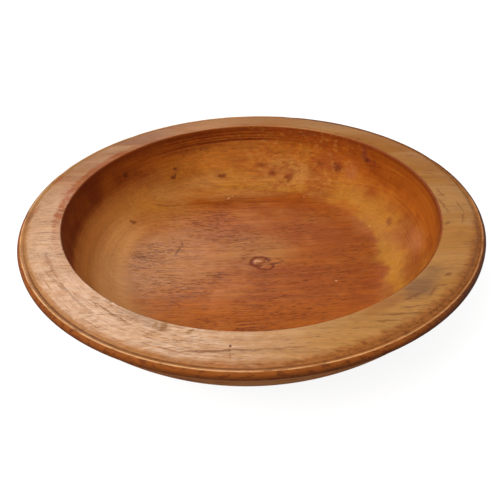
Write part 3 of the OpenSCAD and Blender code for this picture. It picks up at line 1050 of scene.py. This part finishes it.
def grainColours(shader, w, tone):
    # fibres, rings, pores and knots over everything
    fade, times, lay = shader.fade, shader.times, shader.lay
    fibreShare = shader.less(fade(w.rimTop, 0, 1, 0.5, 0.28), times(w.endGrain, 0.2))
    tone = shader.mix(fibreShare, tone, shader.joined(w.fibre, w.fibre, w.fibre), "OVERLAY")
    tone = shader.mix(0.25, tone, shader.joined(w.rings, w.rings, w.rings), "OVERLAY")
    calm = times(fade(w.rimTop, 0, 1, 1.0, 0.5), fade(w.endGrain, 0, 1, 1.0, 0.3))
    tone = lay(tone, "pore", w.pores, calm, 0.6)
    tone = lay(tone, "pore", w.dashes, calm, 0.75)
    knotDark = knotMask(shader, w.gnarled)
    tone = lay(tone, "knotRim", fade(knotDark, 0.0, 0.7, 0.0, 0.6))
    tone = lay(tone, "knot", fade(knotDark, 0.5, 1.0, 0.0, 0.6))
    w.curlDark = curlMask(shader, w.curled, w.z)
    return lay(tone, "bark", w.curlDark)


def woodRoughness(shader, w):
    # satin varnish, duller on the wall, at the front of the floor, in stains and in scratches
    fade, times = shader.fade, shader.times
    rimEnd = outlineEnds["rim"]
    radius = shader.length(w.flat)
    everywhere = shader.add(fade(w.fine, 0.3, 0.7, -0.04, 0.06),
                            fade(w.mottle, 0.3, 0.7, 0.0, 0.08))
    hollow = shader.add(fade(radius, floorRadius - 0.005, floorRadius + 0.025,
                             *varnish["hollowRough"]),
                        times(shader.most(w.strokes, w.curlDark), 0.16),
                        fade(w.y, -0.04, -0.1, 0.0, 0.22))
    rim = shader.add(fade(w.cloud, 0.35, 0.65, *varnish["rimRough"]),
                     fade(w.along, rimEnd - 0.001, rimEnd + 0.002, 0.0, 0.15),
                     fade(w.quirkGap, 0.0018, 0.0004, 0.0, 0.25),
                     times(w.lipStain, 0.2), times(w.farLeft, 0.16))
    blend = shader.put("Mix", {0: w.rimTop, 2: hollow, 3: rim}).outputs[0]
    return shader.add(everywhere, blend)


def woodMaterial():
    material = newMaterial("turnedWood")
    shader = Shader(material.node_tree)
    patchGroup = makePatchGroup()
    w = woodPlaces(shader)
    heart = heartMask(shader, w)
    tone = hollowColours(shader, w, patchGroup, heart)
    tone = shader.mix(w.rimTop, tone, rimColours(shader, w, patchGroup))
    tone = lipColours(shader, w, tone)
    tone = edgeColours(shader, w, tone)
    under = shader.fade(w.along, outlineEnds["edge"] - 0.0016, outlineEnds["edge"])
    tone = shader.mix(under, tone, bellyColours(shader, w, heart))
    tone = grainColours(shader, w, tone)
    rough = woodRoughness(shader, w)

    height = shader.add(shader.times(w.fibre, 0.4), shader.times(w.fine, 0.25))
    height = shader.less(height, shader.times(w.pores, 0.5))
    height = shader.less(height, shader.times(w.dashes, 0.7))
    height = shader.add(height, shader.times(w.turning, w.cove, 0.15))
    bump = shader.put("Bump", {"Strength": varnish["bumpStrength"],
                               "Distance": varnish["bumpDepth"], "Height": height})
    surface = shader.put("BsdfPrincipled", {"Base Color": tone, "Roughness": rough,
                                            "IOR": varnish["ior"],
                                            "Specular IOR Level": varnish["specular"],
                                            "Normal": bump.outputs[0]})
    shader.put("OutputMaterial", {"Surface": surface.outputs[0]})
    return material


# Floor, world and lamps, at a plain level
studio = {
    "floorSize": 14,
    "floorPale": colour(134, 134, 134),
    "floorGlow": 0.88,           # seen by the camera alone, so that the ground is white
    "ambient": 0.48,
    "backdrop": 0.7,             # what gloss sees all round
    "ceiling": 0.12,             # and overhead
    "lamps": [
        {"name": "window", "at": (-0.65, 1.1, 1.2), "size": (0.6, 0.5), "watts": 8,
         "lights": False, "shines": True, "tint": (1.0, 0.91, 0.82)},
        {"name": "skylight", "at": (-0.35, 1.46, 1.2), "size": (0.6, 0.5), "watts": 9,
         "lights": False, "shines": True, "tint": (1.0, 0.91, 0.82)},
        {"name": "softbox", "at": (-0.8, -0.65, 1.35), "size": (1.3, 1.3), "watts": 28,
         "lights": True, "shines": False, "tint": (1.0, 0.98, 0.95)},
    ],
}


def makeFloor():
    bm = bmesh.new()
    bmesh.ops.create_grid(bm, x_segments=1, y_segments=1, size=studio["floorSize"] / 2)
    bmesh.ops.translate(bm, verts=bm.verts, vec=(0, 0, cadLow.z))
    mesh = bpy.data.meshes.new("studioFloor")
    bm.to_mesh(mesh)
    bm.free()
    floor = bpy.data.objects.new("studioFloor", mesh)
    bpy.context.collection.objects.link(floor)
    material = newMaterial("paleFloor")
    shader = Shader(material.node_tree)
    seen = shader.put("LightPath").outputs["Is Camera Ray"]
    pale = shader.put("BsdfDiffuse", {"Color": studio["floorPale"]})
    glow = shader.put("Emission", {"Color": (1, 1, 1, 1),
                                   "Strength": shader.times(seen, studio["floorGlow"])})
    both = shader.put("AddShader", {0: pale.outputs[0], 1: glow.outputs[0]})
    shader.put("OutputMaterial", {"Surface": both.outputs[0]})
    mesh.materials.append(material)


def makeWorld():
    # white to the camera; gloss and glass see a pale backdrop all round and a dimmer ceiling
    world = bpy.data.worlds.new("studio")
    world.use_nodes = True
    shader = Shader(world.node_tree)
    path = shader.put("LightPath").outputs
    upward = shader.put("SeparateXYZ", {0: shader.put("TexCoord").outputs["Generated"]}).outputs[2]
    around = shader.fade(upward, 0.34, 0.5, studio["backdrop"], studio["ceiling"])
    shines = shader.most(path["Is Glossy Ray"], path["Is Transmission Ray"])
    gloss = shader.times(shines, shader.less(around, studio["ambient"]))
    seen = shader.times(path["Is Camera Ray"], 1 - studio["ambient"])
    strength = shader.add(shader.add(studio["ambient"], gloss), seen)
    light = shader.put("Background", {"Color": (1, 1, 1, 1), "Strength": strength})
    shader.put("OutputWorld", {"Surface": light.outputs[0]})
    bpy.context.scene.world = world


def makeLamps():
    for lamp in studio["lamps"]:
        data = bpy.data.lights.new(lamp["name"], "AREA")
        data.shape = "RECTANGLE"
        data.size, data.size_y = lamp["size"]
        data.energy = lamp["watts"]
        data.color = lamp["tint"]
        light = bpy.data.objects.new(lamp["name"], data)
        place = Vector(lamp["at"])
        aim = (Vector((0, 0, bowlHeight)) - place).to_track_quat("-Z", "Y")
        light.matrix_world = Matrix.Translation(place) @ aim.to_matrix().to_4x4()
        light.visible_diffuse = lamp["lights"]
        light.visible_glossy = lamp["shines"]
        bpy.context.collection.objects.link(light)


makeCamera(crestHeight)
print("camera placed")
piece = makeBowl()
piece.data.materials.append(woodMaterial())
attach(piece, "root")
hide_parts("bowl")
print("wood finished")
makeFloor()
makeWorld()
makeLamps()
bpy.context.scene.view_settings.view_transform = "Standard"
print("studio lit")
